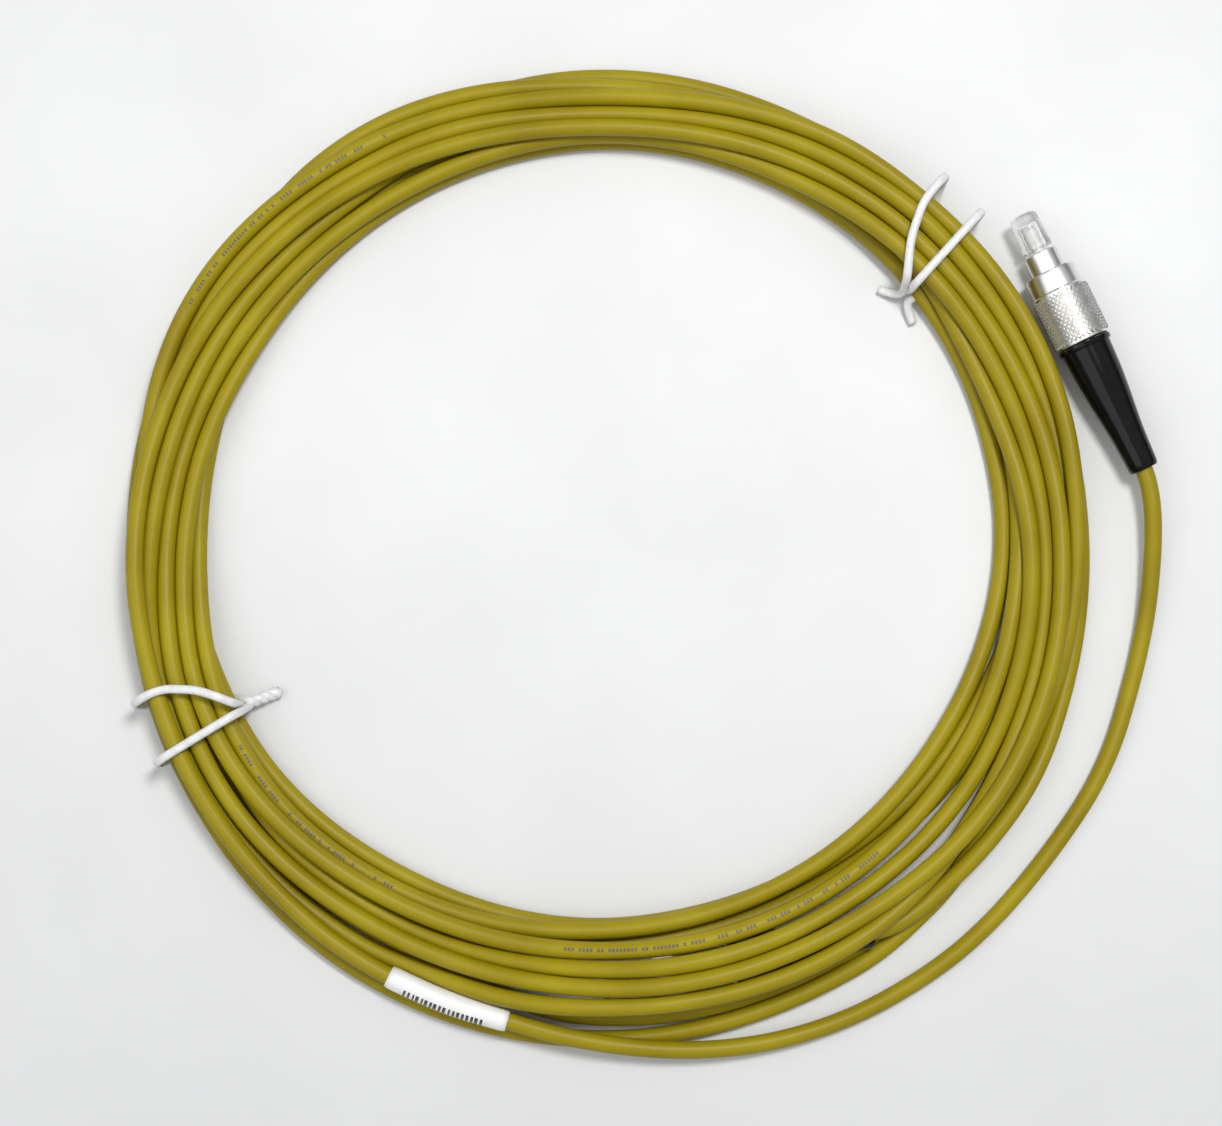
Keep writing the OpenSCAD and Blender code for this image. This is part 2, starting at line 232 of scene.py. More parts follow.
def push_apart(r, z, pairs, need):
    """Moves turns that lie closer than need away from each other"""
    move_r = np.zeros(len(r))
    move_z = np.zeros(len(r))
    touches = np.zeros(len(r))
    for a, b in pairs:
        x, y = r[b] - r[a], z[b] - z[a]
        d = np.hypot(x, y) + 1e-6
        push = np.maximum(need - d, 0) / 2
        for strand, way in ((a, -1), (b, 1)):
            move_r[strand] += way * push * x / d
            move_z[strand] += way * push * y / d
            touches[strand] += push > 0
    share = 1 / np.sqrt(np.maximum(touches, 1))
    return r + move_r * share, z + move_z * share


# The turns settle in rounds. In the early ones they sink and are drawn to their own radius. In
# the late ones they don't sink and are drawn less, so that they part and smooth out.
ROUNDS = 800
EARLY_ROUNDS = 600
SINK = 0.06
LAYER_HEIGHT = 2.62
EARLY_EASE, LATE_EASE = 0.45, 0.2
EARLY_SMOOTHINGS, LATE_SMOOTHINGS = 2, 1
LATE_HOLD = 0.15
TURN_GAP = 0.03
WALL_GAP = 0.05
EDGE_HOLD = 0.4


def settle_turns():
    """The hank's turns as radius and height at every station, settled on each other. Each turn
    is drawn to its row's radius, sinks under its weight, keeps smooth, and stays clear of the
    other turns and the walls."""
    goal = spread(sum((row[1] for row in TURNS), []))
    level = np.clip(spread([float(c) for c in "".join(row[0] for row in TURNS)]), 0, 2)
    keep = slice(1, (TURNS_TO - TURNS_FROM) // STATION + 1)
    goal, level = goal[keep], level[keep]
    angle = TURNS_FROM + STATION * (1 + np.arange(len(goal)))
    station = (angle % 360) // STATION
    index = np.full((angle[-1] // 360 + 1, PER_TURN), -1)
    index[angle // 360, station] = np.arange(len(angle))
    pairs = []
    for i in range(len(index)):
        for j in range(i + 1, len(index)):
            both = (index[i] >= 0) & (index[j] >= 0)
            pairs.append((index[i][both], index[j][both]))

    lowest = ground(STATION * np.arange(PER_TURN))[station]
    fixed = [[value[station] for value in wall] for wall in walls()]
    inner = spread(INNER_EDGE + INNER_EDGE[:1])[:-1][station] + CABLE_R
    outer = spread(OUTER_EDGE + OUTER_EDGE[:1])[:-1][station] - CABLE_R
    # The upper turns are the ones seen, so they keep closer to their own radius
    hold = np.clip(0.02 + 0.28 * (level - 0.8), 0.02, 0.3)
    ends = polar([TAIL_ROUTE[-1], LEAD_ROUTE[0]])

    r = goal.copy()
    z = lowest + LAYER_HEIGHT * level
    wall_r, wall_z, wall_size = fixed[0]
    reach = np.where(wall_r > 0, wall_size + CABLE_R + WALL_GAP, 0)
    above = (np.abs(goal - wall_r) < reach - 0.25) & (level > 0.9)

    for i in range(ROUNDS):
        early = i < EARLY_ROUNDS
        ease = EARLY_EASE if early else LATE_EASE
        off = (r - goal) * (1 - hold * (1 if early else LATE_HOLD))
        if early:
            z -= SINK
        for _ in range(EARLY_SMOOTHINGS if early else LATE_SMOOTHINGS):
            off[1:-1] += ease * ((off[:-2] + off[2:]) / 2 - off[1:-1])
            z[1:-1] += ease * ((z[:-2] + z[2:]) / 2 - z[1:-1])
        r, z = push_apart(goal + off, z, pairs, 2 * CABLE_R + TURN_GAP)
        over = wall_z + np.sqrt(np.maximum(reach**2 - (r - wall_r) ** 2, 0))
        z = np.where(above, np.maximum(z, over), z)
        for k, (at_r, at_z, size) in enumerate(fixed):
            x, y = r - at_r, z - at_z
            d = np.hypot(x, y) + 1e-6
            push = np.where(at_r > 0, np.maximum(size + CABLE_R + WALL_GAP - d, 0), 0)
            if k == 0:
                push = np.where(above, 0, push)
            r = r + push * x / d
            z = z + push * y / d
        r = r + EDGE_HOLD * (np.maximum(inner - r, 0) - np.maximum(r - outer, 0))
        z = np.maximum(z, lowest)
        r[:2], z[:2] = ends[1][0], ends[2][0]
        r[-1], z[-1] = ends[1][1], ends[2][1]
    return angle, r, z


def plan(angle, r, z):
    """Points from their clockwise angle, radius and height"""
    a = np.radians(angle)
    return np.stack([r * np.sin(a), r * np.cos(a), z], 1)


def to_frame(points):
    """Millimetres from the hank's centre to metres in the part's frame"""
    return (np.array(points) + [HANK[0], HANK[1], 0]) * MM


def travelled(line):
    """How far along the line each of its points is"""
    return np.concatenate([[0], np.cumsum(np.linalg.norm(np.diff(line, axis=0), axis=1))])


def even(line, spacing):
    """The same line with its points about spacing apart"""
    along = travelled(line)
    steps = int(round(along[-1] / spacing))
    at = np.linspace(0, along[-1], steps + 1)
    return np.stack([np.interp(at, along, line[:, k]) for k in range(3)], 1)


def relax(line, passes):
    """The line with its small kinks taken out; its ends stay"""
    line = line.copy()
    for _ in range(passes):
        line[1:-1] += 0.5 * ((line[:-2] + line[2:]) / 2 - line[1:-1])
    return line


TURN_ANGLE, TURN_R, TURN_Z = settle_turns()


def cord_line():
    """The whole cord's middle line: the tail, the hank's turns, and the lead"""
    turns = smooth(plan(TURN_ANGLE, TURN_R, TURN_Z), 4)
    line = np.concatenate([smooth(TAIL_ROUTE, 6), turns, smooth(LEAD_ROUTE, 6)[1:]])
    return relax(even(line, 1.5), 3)


# ---------- Mesh helpers ----------


def new_object(name, verts, faces, flat=False):
    mesh = bpy.data.meshes.new(name)
    mesh.from_pydata([tuple(v) for v in verts], [], faces)
    mesh.validate()
    obj = bpy.data.objects.new(name, mesh)
    bpy.context.collection.objects.link(obj)
    tidy = bmesh.new()
    tidy.from_mesh(mesh)
    bmesh.ops.recalc_face_normals(tidy, faces=tidy.faces)
    tidy.to_mesh(mesh)
    tidy.free()
    mesh.polygons.foreach_set("use_smooth", [not flat] * len(mesh.polygons))
    return obj


def tube_rings(line, radius, sides, squash=1.0):
    """Rings of points round a line that never runs straight up"""
    ahead = np.gradient(line, axis=0)
    ahead /= np.linalg.norm(ahead, axis=1)[:, None]
    side = np.cross([0.0, 0.0, 1.0], ahead)
    side /= np.linalg.norm(side, axis=1)[:, None]
    up = np.cross(ahead, side)
    turn = 2 * np.pi * np.arange(sides) / sides
    return (
        line[:, None]
        + radius * np.cos(turn)[None, :, None] * side[:, None]
        + radius * squash * np.sin(turn)[None, :, None] * up[:, None]
    )


def grid_faces(rows, sides, first=0):
    """The faces between rings of points that follow each other"""
    return [
        (first + i * sides + k, first + i * sides + (k + 1) % sides,
         first + (i + 1) * sides + (k + 1) % sides, first + (i + 1) * sides + k)
        for i in range(rows - 1)
        for k in range(sides)
    ]


def add_uv(obj, sides, along):
    """Round the tube as U, and millimetres along it as V"""
    layer = obj.data.uv_layers.new(name="tube").data
    for polygon in obj.data.polygons:
        around = [obj.data.loops[i].vertex_index % sides for i in polygon.loop_indices]
        wraps = max(around) - min(around) > sides / 2
        for i, k in zip(polygon.loop_indices, around):
            row = obj.data.loops[i].vertex_index // sides
            u = k / sides + (1 if wraps and k < sides / 2 else 0)
            layer[i].uv = (u, along[row])


def make_tube(name, line, radius, sides, squash=1.0):
    """A closed tube round a line, both in millimetres from the hank's centre"""
    rings = tube_rings(line, radius, sides, squash)
    rows = len(line)
    faces = grid_faces(rows, sides)
    faces.append(tuple(reversed(range(sides))))
    faces.append(tuple((rows - 1) * sides + k for k in range(sides)))
    obj = new_object(name, to_frame(rings.reshape(-1, 3)), faces)
    for polygon in obj.data.polygons:
        polygon.use_smooth = len(polygon.vertices) == 4
    add_uv(obj, sides, travelled(line))
    return obj


# ---------- Materials ----------


class Nodes:
    """A material's node tree, with a short way to add linked nodes"""

    def __init__(self, name):
        self.material = bpy.data.materials.new(name)
        self.material.use_nodes = True
        self.tree = self.material.node_tree
        self.shader = self.tree.nodes["Principled BSDF"]

    def set(self, **values):
        """Sets the shader's own sockets; underscores stand for spaces"""
        for key, value in values.items():
            self.put(self.shader.inputs[key.replace("_", " ")], value)

    def put(self, socket, value):
        if isinstance(value, bpy.types.NodeSocket):
            self.tree.links.new(value, socket)
        else:
            socket.default_value = value

    def add(self, kind, inputs=(), output=0, **settings):
        node = self.tree.nodes.new("ShaderNode" + kind)
        for key, value in settings.items():
            setattr(node, key, value)
        for key, value in dict(inputs).items():
            self.put(node.inputs[key], value)
        return node.outputs[output]

    def math(self, operation, a, b=0.0):
        return self.add("Math", {0: a, 1: b}, operation=operation)

    def coordinates(self):
        return self.add("TexCoord", output="Object")

    def split(self, vector):
        node = self.tree.nodes.new("ShaderNodeSeparateXYZ")
        self.put(node.inputs[0], vector)
        return node.outputs

    def tube(self):
        """The place round a tube, from 0 to 1, and the millimetres along it"""
        split = self.split(self.add("UVMap", uv_map="tube"))
        return split[0], split[1]

    def noise(self, scale, detail=2.0, vector=None):
        inputs = {"Scale": scale, "Detail": detail, "Vector": vector or self.coordinates()}
        return self.add("TexNoise", inputs)

    def ramp(self, value, stops):
        node = self.tree.nodes.new("ShaderNodeValToRGB")
        self.put(node.inputs[0], value)
        elements = node.color_ramp.elements
        while len(elements) < len(stops):
            elements.new(0.5)
        for element, (at, color) in zip(elements, stops):
            element.position = at
            element.color = (*color, 1)
        return node.outputs[0]

    def mix(self, factor, a, b):
        node = self.tree.nodes.new("ShaderNodeMix")
        node.data_type = "RGBA"
        for key, value in ((0, factor), (6, a), (7, b)):
            if isinstance(value, tuple) and len(value) == 3:
                value = (*value, 1)
            self.put(node.inputs[key], value)
        return node.outputs[2]

    def bump(self, height, strength, distance):
        inputs = {"Height": height, "Strength": strength, "Distance": distance}
        self.set(Normal=self.add("Bump", inputs))


def plain(name, dark, light, roughness, scale=900.0, bump=0.08, **values):
    """A material whose colour wanders between two shades, with a fine surface"""
    nodes = Nodes(name)
    noise = nodes.noise(scale, 4.0)
    nodes.set(
        Base_Color=nodes.ramp(noise, [(0.3, dark), (0.7, light)]),
        Roughness=roughness,
        **values,
    )
    nodes.bump(nodes.noise(scale * 3), bump, 0.0002)
    return nodes.material


def within(nodes, value, middle, half):
    """1 where value is within half of middle"""
    away = nodes.math("ABSOLUTE", nodes.math("SUBTRACT", value, middle))
    return nodes.math("LESS_THAN", away, half)


MARKS_PER_MM = 1.6
BARS_PER_MM = 1.25


def jacket_material():
    """Olive-yellow PVC with a line of small grey marks where the print shows"""
    nodes = Nodes("jacket_pvc")
    cloud = nodes.noise(60.0, 3.0)
    base = nodes.ramp(cloud, [(0.3, (0.27, 0.205, 0.0035)), (0.7, (0.35, 0.28, 0.005))])
    around, along = nodes.tube()
    shown = nodes.add("Attribute", output="Fac", attribute_name="print")
    cell = nodes.math("MULTIPLY", along, MARKS_PER_MM)
    chance = nodes.add("TexWhiteNoise", {"W": nodes.math("FLOOR", cell)}, noise_dimensions="1D")
    marked = nodes.math("GREATER_THAN", chance, 0.42)
    stroke = nodes.math("LESS_THAN", nodes.math("FRACT", cell), 0.72)
    line = within(nodes, around, 0.27, 0.032)
    mask = nodes.math("MULTIPLY", nodes.math("MULTIPLY", marked, stroke),
                      nodes.math("MULTIPLY", line, nodes.math("GREATER_THAN", shown, 0.5)))
    faint = nodes.math("MULTIPLY", mask, 0.75)
    nodes.set(
        Base_Color=nodes.mix(faint, base, (0.09, 0.08, 0.085)),
        Roughness=nodes.math("ADD", nodes.math("MULTIPLY", cloud, 0.2), 0.32),
        Specular_IOR_Level=0.22,
        Subsurface_Weight=0.08,
        Subsurface_Radius=(0.0012, 0.0009, 0.0002),
        Subsurface_Scale=1.0,
    )
    nodes.bump(nodes.noise(1800.0, 3.0), 0.06, 0.0002)
    return nodes.material


def label_material():
    """White paper under clear film, with generic bars across half of it"""
    nodes = Nodes("label_print")
    around, along = nodes.tube()
    cell = nodes.math("MULTIPLY", along, BARS_PER_MM)
    widths = nodes.add("TexWhiteNoise", {"W": nodes.math("FLOOR", cell)}, noise_dimensions="1D")
    bar = nodes.math("LESS_THAN", nodes.math("FRACT", cell),
                     nodes.math("ADD", nodes.math("MULTIPLY", widths, 0.35), 0.4))
    band = within(nodes, around, 0.11, 0.075)
    span = within(nodes, along, 10.8, 7.2)
    mask = nodes.math("MULTIPLY", bar, nodes.math("MULTIPLY", band, span))
    paper = nodes.ramp(nodes.noise(300.0), [(0.3, (0.8, 0.8, 0.77)), (0.7, (0.88, 0.88, 0.86))])
    nodes.set(Base_Color=nodes.mix(mask, paper, (0.07, 0.065, 0.06)), Roughness=0.35,
              Coat_Weight=0.3, Coat_Roughness=0.2)
    nodes.bump(nodes.noise(2500.0), 0.05, 0.0002)
    return nodes.material


def nickel_material():
    """Nickel plate, satin bright, with faint turning marks"""
    nodes = Nodes("nickel_plate")
    noise = nodes.noise(700.0, 5.0)
    fine = nodes.noise(4000.0, 2.0)
    nodes.set(
        Base_Color=nodes.ramp(noise, [(0.3, (0.76, 0.75, 0.72)), (0.7, (0.87, 0.86, 0.84))]),
        Metallic=1.0,
        Roughness=nodes.math("ADD", nodes.math("MULTIPLY", fine, 0.12), 0.26),
    )
    nodes.bump(fine, 0.05, 0.0001)
    return nodes.material


def boot_material():
    """Glossy black moulded rubber"""
    nodes = Nodes("boot_rubber")
    noise = nodes.noise(500.0, 4.0)
    nodes.set(
        Base_Color=nodes.ramp(noise, [(0.3, (0.003, 0.003, 0.003)), (0.7, (0.006, 0.006, 0.006))]),
        Roughness=nodes.math("ADD", nodes.math("MULTIPLY", noise, 0.08), 0.08),
        Specular_IOR_Level=0.25,
    )
    nodes.bump(nodes.noise(2200.0), 0.04, 0.0002)
    return nodes.material


def cap_material():
    """Clear soft plastic"""
    nodes = Nodes("cap_clear")
    noise = nodes.noise(400.0, 3.0)
    nodes.set(
        Base_Color=nodes.ramp(noise, [(0.3, (0.93, 0.94, 0.94)), (0.7, (0.98, 0.98, 0.98))]),
        Roughness=nodes.math("ADD", nodes.math("MULTIPLY", noise, 0.08), 0.05),
        Transmission_Weight=0.94,
        IOR=1.36,
    )
    return nodes.material


def glass_material():
    """Bare glass fiber"""
    nodes = Nodes("fiber_glass")
    tint = nodes.ramp(nodes.noise(900.0), [(0.3, (0.85, 0.93, 0.95)), (0.7, (0.9, 0.96, 0.98))])
    nodes.set(Base_Color=tint, Roughness=0.05, Transmission_Weight=0.8, IOR=1.46)
    return nodes.material


def aramid_material():
    """Yellow yarn: fine strands along the cable"""
    nodes = Nodes("aramid_yarn")
    inputs = {"Scale": 900.0, "Distortion": 3.0, "Vector": nodes.coordinates()}
    strands = nodes.add("TexWave", inputs, output="Fac")
    nodes.set(
        Base_Color=nodes.ramp(strands, [(0.2, (0.55, 0.38, 0.08)), (0.8, (0.82, 0.64, 0.2))]),
        Roughness=0.75, Sheen_Weight=0.4,
    )
    nodes.bump(strands, 0.4, 0.0002)
    return nodes.material


MATERIALS = {
    "jacket": jacket_material(),
    "label": label_material(),
    "tie_plastic": plain("tie_plastic", (0.66, 0.66, 0.66), (0.8, 0.8, 0.8), 0.3,
                         Subsurface_Weight=0.15, Subsurface_Radius=(0.001, 0.001, 0.001)),
    "tie_steel": plain("tie_steel", (0.3, 0.3, 0.31), (0.45, 0.45, 0.46), 0.35, Metallic=1.0),
    "nickel_plate": nickel_material(),
    "spring_steel": plain("spring_steel", (0.36, 0.36, 0.37), (0.48, 0.48, 0.5), 0.25,
                          Metallic=1.0),
    "brass": plain("brass", (0.62, 0.44, 0.17), (0.78, 0.58, 0.26), 0.28, Metallic=1.0),
    "zirconia": plain("zirconia", (0.84, 0.84, 0.81), (0.9, 0.9, 0.88), 0.12, bump=0.02,
                      Coat_Weight=0.4, Coat_Roughness=0.05),
    "aramid": aramid_material(),
    "buffer": plain("buffer", (0.72, 0.7, 0.62), (0.84, 0.82, 0.75), 0.45),
    "fiber_glass": glass_material(),
    "boot_rubber": boot_material(),
    "cap_clear": cap_material(),
}


def wear(obj, slot):
    """Gives the object its slot's material, and no other"""
    obj.data.materials.clear()
    obj.data.materials.append(MATERIALS[slot])


def finish_piece(obj, body, slot, *replaced):
    wear(obj, slot)
    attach(obj, body)
    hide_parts(*replaced)
    return obj


# ---------- Cord ----------

CORD_LINE = cord_line()
CORD_SIDES = 16
# Where the printed marks face up: turn number and clockwise angles
PRINT_SPANS = [(4, 138, 186), (5, 212, 241), (9, 299, 331)]


def mark_print(obj, line, sides):
    """1 on the rings where the printed marks show"""
    angle = np.degrees(np.unwrap(np.arctan2(line[:, 0], line[:, 1])))
    angle += TURNS_TO - angle[np.argmin(np.linalg.norm(line - np.array(LEAD_ROUTE[0]), axis=1))]
    shown = np.zeros(len(line))
    for turn, first, last in PRINT_SPANS:
        shown[(angle > 360 * (turn - 1) + first) & (angle < 360 * (turn - 1) + last)] = 1
    layer = obj.data.attributes.new("print", "FLOAT", "POINT")
    layer.data.foreach_set("value", np.repeat(shown, sides))


def make_cord():
    cord = make_tube("cord", CORD_LINE, CABLE_R, CORD_SIDES)
    mark_print(cord, CORD_LINE, CORD_SIDES)
    finish_piece(cord, "cord", "jacket", "cable_coil", "cable_tail", "cable_lead")
    return cord, travelled(CORD_LINE)[-1] * MM


cord, cord_length = make_cord()


# ---------- Label ----------


LABEL_SIDES = 24
LABEL_BORE_R = CABLE_R + 0.05
# How far the sleeve's two end rings draw in towards the cable, as a share of its wall
LABEL_EDGE = 0.25


def make_label():
    """A sleeve round the tail, open at both ends"""
    steps, sides = 10, LABEL_SIDES
    line = smooth(TAIL_ROUTE, steps)[LABEL_SPAN[0] * steps : LABEL_SPAN[1] * steps + 1]
    outer = tube_rings(line, LABEL_R, sides)
    inner = tube_rings(line, LABEL_BORE_R, sides)
    for end in (0, -1):
        outer[end] += LABEL_EDGE * (inner[end] - outer[end])
    rows = len(line)
    verts = np.concatenate([outer.reshape(-1, 3), inner.reshape(-1, 3)])
    start = rows * sides
    end = (rows - 1) * sides
    faces = grid_faces(rows, sides) + grid_faces(rows, sides, start)
    for k in range(sides):
        j = (k + 1) % sides
        faces.append((k, j, start + j, start + k))
        faces.append((end + k, end + j, start + end + j, start + end + k))
    label = new_object("label", to_frame(verts), faces)
    add_uv(label, sides, np.tile(travelled(line), 2))
    return finish_piece(label, "cord", "label", "label_sleeve")


label = make_label()


# ---------- Ties ----------

# Inner and outer end of the loop, how far to the side the knot and the two bands' outer ends
# are, how far one band bows out, and the height of the upper bands' middle line
TieShape = namedtuple("TieShape", "inner outer knot ends bow top")
TIE_SHAPES = {
    "right": TieShape(67.9, 86, -4.4, (5.2, -3.4), 2.6, 10.1),
    "left": TieShape(67.6, 84, 1.6, (5.8, -4.8), -3, 10.9),
}
TIE_R = 0.74
TIE_FLAT = 0.66
TIE_WIRE_R = 0.23
TIE_CROSS = 1.3
TIE_BOTTOM = 0.55
TIE_SQUARE = 0.4
TIE_STEPS = 72
TWIST_STEPS = 32
TWIST_LEN = 5.5
TWIST_R = 0.62
TWIST_TURNS = 2


def signed_power(v, e):
    return math.copysign(abs(v) ** e, v)


def tie_loop(shape, y_out, y0, y1):
    """Over the hank and back beneath it, from y0 to y1 at the knot, as a rounded oblong"""
    half_x, half_z = (shape.outer - shape.inner) / 2, (shape.top - TIE_BOTTOM) / 2
    points = []
    for i in range(TIE_STEPS + 1):
        a = math.radians(160 - 320 * i / TIE_STEPS)
        x = shape.inner + half_x * (1 + signed_power(math.cos(a), TIE_SQUARE))
        z = TIE_BOTTOM + half_z * (1 + signed_power(math.sin(a), TIE_SQUARE))
        reach = (x - shape.inner) / (shape.outer - shape.inner)
        over = i < TIE_STEPS / 2
        y = (shape.knot + (y0 if over else y1)) * (1 - reach) + y_out * reach
        if over and shape.bow * y_out > 0:
            y += shape.bow * math.sin(math.pi * reach)
        points.append((x, y, z))
    return points


def twist_leg(shape, phase):
    """One leg of the twisted end, from its tip to the knot"""
    points = []
    for i in range(TWIST_STEPS + 1):
        f = i / TWIST_STEPS
        a = math.radians(phase + 360 * TWIST_TURNS * f)
        points.append((
            shape.inner - 0.9 - TWIST_LEN * (1 - f),
            shape.knot + TWIST_R * math.cos(a),
            1.3 + 2 * f + TWIST_R * math.sin(a),
        ))
    return points


def spread_leg(shape, way):
    """One leg laid along the hank's inner edge, from its tip to the knot"""
    inner, knot = shape.inner, shape.knot
    return [
        (inner - 2.6, knot + way * 4.2, 1), (inner - 2, knot + way * 2.6, 1.3),
        (inner - 1.2, knot + way * 1.1, 2.2), (inner - 0.6, knot + way * 0.7, 3.4),
    ]


def make_tie(side):
    """One wire in its cover: a leg, two loops round the hank, and the other leg"""
    shape = TIE_SHAPES[side]
    if side == "right":
        legs = [spread_leg(shape, 1), spread_leg(shape, -1)]
    else:
        legs = [twist_leg(shape, 0), twist_leg(shape, 180)]
    points = (
        legs[0]
        + tie_loop(shape, shape.ends[0], TIE_CROSS, 0)
        + tie_loop(shape, shape.ends[1], 0, -TIE_CROSS)
        + legs[1][::-1]
    )
    line = relax(even(np.array(points), 0.6), 4)
    a = math.radians(90 - TIES[side])
    c, s = math.cos(a), math.sin(a)
    x, y, z = line.T
    placed = np.stack([c * x - s * y, s * x + c * y, z], 1)
    cover = make_tube(f"tie_{side}", placed, TIE_R, 12, TIE_FLAT)
    wire = make_tube(f"tie_{side}_core", placed, TIE_WIRE_R, 8)
    finish_piece(cover, "cord", "tie_plastic", f"tie_cover_{side}")
    finish_piece(wire, "cord", "tie_steel", f"tie_wire_{side}")
    return [cover, wire]


ties = make_tie("right") + make_tie("left")


# ---------- Connectors ----------


def place(connector, points):
    """Points in a connector's own frame (down, left, forward from the seam) to the part's"""
    a = math.radians(connector[2])
    p = np.array(points, float)
    down, left, ahead = p[:, 0], p[:, 1], p[:, 2]
    return to_frame(np.stack([
        connector[0] + ahead * math.cos(a) - left * math.sin(a),
        connector[1] + ahead * math.sin(a) + left * math.cos(a),
        AXIS_Z - down,
    ], 1))


def ring(radius, u, count):
    """A ring of points round the axis. radius is one number or one for each point."""
    turn = 2 * np.pi * np.arange(count) / count
    radius = np.broadcast_to(radius, count)
    return np.stack([radius * np.cos(turn), radius * np.sin(turn), np.full(count, u)], 1)


def lathe(name, connector, outline, count):
    """A turned part from the closed outline, of (radius, u), of its section"""
    verts = np.concatenate([ring(r, u, count) for r, u in outline])
    rows = len(outline)
    last = (rows - 1) * count
    faces = grid_faces(rows, count)
    faces += [(last + k, last + (k + 1) % count, (k + 1) % count, k) for k in range(count)]
    return new_object(name, place(connector, verts), faces)


def crease(obj, degrees):
    """Smooth shading that stays sharp at edges steeper than the angle"""
    bpy.context.view_layer.objects.active = obj
    obj.data.polygons.foreach_set("use_smooth", [True] * len(obj.data.polygons))
    mesh = bmesh.new()
    mesh.from_mesh(obj.data)
    for edge in mesh.edges:
        if len(edge.link_faces) == 2 and edge.calc_face_angle(0) > math.radians(degrees):
            edge.smooth = False
    mesh.to_mesh(obj.data)
    mesh.free()
    return obj


NUT_R = 5.0
KNURL_LEN = 9.9
COLLAR_R = 4.4
NUT_LEN = 13.5
THREAD_R = 3.7
NUT_BORE_R = 3.15
RING_GROOVE_R = 4.15
KNURL_ROUND = 36
KNURL_ROWS = 16
KNURL_DEPTH = 0.34
KNURL_FROM = 0.45
KNURL_TO = KNURL_LEN - 0.45
# Width of a pyramid's flat top, as a share of its base
KNURL_TOP = 0.42
THREAD_PITCH = 0.75
THREAD_DEPTH = 0.4
THREAD_FROM = 1.75
THREAD_TO = NUT_LEN - 0.3


def knurl(valley_r, crest_r):
    """Rows of small pyramids with flat tops, between two plain rings of twice as many points.
    Returns the verts and faces, and the first and last ring's own indices."""
    count = 2 * KNURL_ROUND
    row_len = (KNURL_TO - KNURL_FROM) / KNURL_ROWS
    verts, faces, known = [], [], {}

    def vertex(i, j, r):
        key = (round(i * 8) % (count * 8), round(j * 8), r)
        if key not in known:
            known[key] = len(verts)
            a = 2 * math.pi * i / count
            verts.append((r * math.cos(a), r * math.sin(a), KNURL_FROM + j * row_len))
        return known[key]

    for j in range(KNURL_ROWS + 1):
        for i in range(j % 2, count, 2):
            corners = [(i - 1, j), (i, j - 1), (i + 1, j), (i, j + 1)]
            if j in (0, KNURL_ROWS):
                tip = corners[3] if j == 0 else corners[1]
                for edge in ((corners[0], (i, j)), ((i, j), corners[2])):
                    faces.append([vertex(*c, valley_r) for c in (*edge, tip)])
                continue
            low = [vertex(*c, valley_r) for c in corners]
            high = [
                vertex(i + (ci - i) * KNURL_TOP, j + (cj - j) * KNURL_TOP, crest_r)
                for ci, cj in corners
            ]
            faces += [[low[k], low[(k + 1) % 4], high[(k + 1) % 4], high[k]] for k in range(4)]
            faces.append(high)
    first = [vertex(i, 0, valley_r) for i in range(count)]
    last = [vertex(i, KNURL_ROWS, valley_r) for i in range(count)]
    return verts, faces, first, last


def thread_rings(count):
    """The nut's inner thread as rings, from its rear to its front"""
    length = THREAD_TO - THREAD_FROM
    steps = int(length / THREAD_PITCH * 4)
    turn = np.arange(count) / count
    rings = []
    for i in range(steps + 1):
        u = THREAD_FROM + length * i / steps
        fade = min(1, (u - THREAD_FROM) / 0.8, (THREAD_TO - u) / 0.5)
        wave = np.abs(((u / THREAD_PITCH + turn) % 1) * 2 - 1)
        rings.append(ring(THREAD_R + THREAD_DEPTH * fade * wave, u, count))
    return rings


def make_nut(side):
    """The coupling nut: diamond knurl, collar, inner thread, and groove for the ring"""
    valley_r = NUT_R - KNURL_DEPTH
    verts, faces, first, last = knurl(valley_r, NUT_R)
    count = 2 * KNURL_ROUND
    rings = [ring(r, u, count) for r, u in (
        (valley_r, KNURL_LEN - 0.15), (valley_r - 0.12, KNURL_LEN),
        (COLLAR_R + 0.08, KNURL_LEN + 0.02), (COLLAR_R, KNURL_LEN + 0.12),
        (COLLAR_R, NUT_LEN - 0.35), (COLLAR_R - 0.1, NUT_LEN - 0.1),
        (COLLAR_R - 0.3, NUT_LEN), (THREAD_R + 0.3, NUT_LEN), (THREAD_R + 0.1, NUT_LEN - 0.15),
    )]
    rings += thread_rings(count)[::-1]
    rings += [ring(r, u, count) for r, u in (
        (RING_GROOVE_R, 1.7), (RING_GROOVE_R, 0.7), (NUT_BORE_R, 0.7), (NUT_BORE_R, 0.1),
        (NUT_BORE_R + 0.1, 0), (valley_r - 0.35, 0), (valley_r - 0.05, 0.2),
    )]
    previous = last
    for points in rings:
        base = len(verts)
        verts += [tuple(p) for p in points]
        here = list(range(base, base + count))
        faces += [[previous[k], previous[(k + 1) % count], here[(k + 1) % count], here[k]]
                  for k in range(count)]
        previous = here
    faces += [[previous[k], previous[(k + 1) % count], first[(k + 1) % count], first[k]]
              for k in range(count)]
    nut = new_object(f"nut_{side}", place(CONNECTORS[side], verts), faces)
    crease(nut, 24)
    return finish_piece(nut, f"nut_{side}", "nickel_plate", f"coupling_nut_{side}")


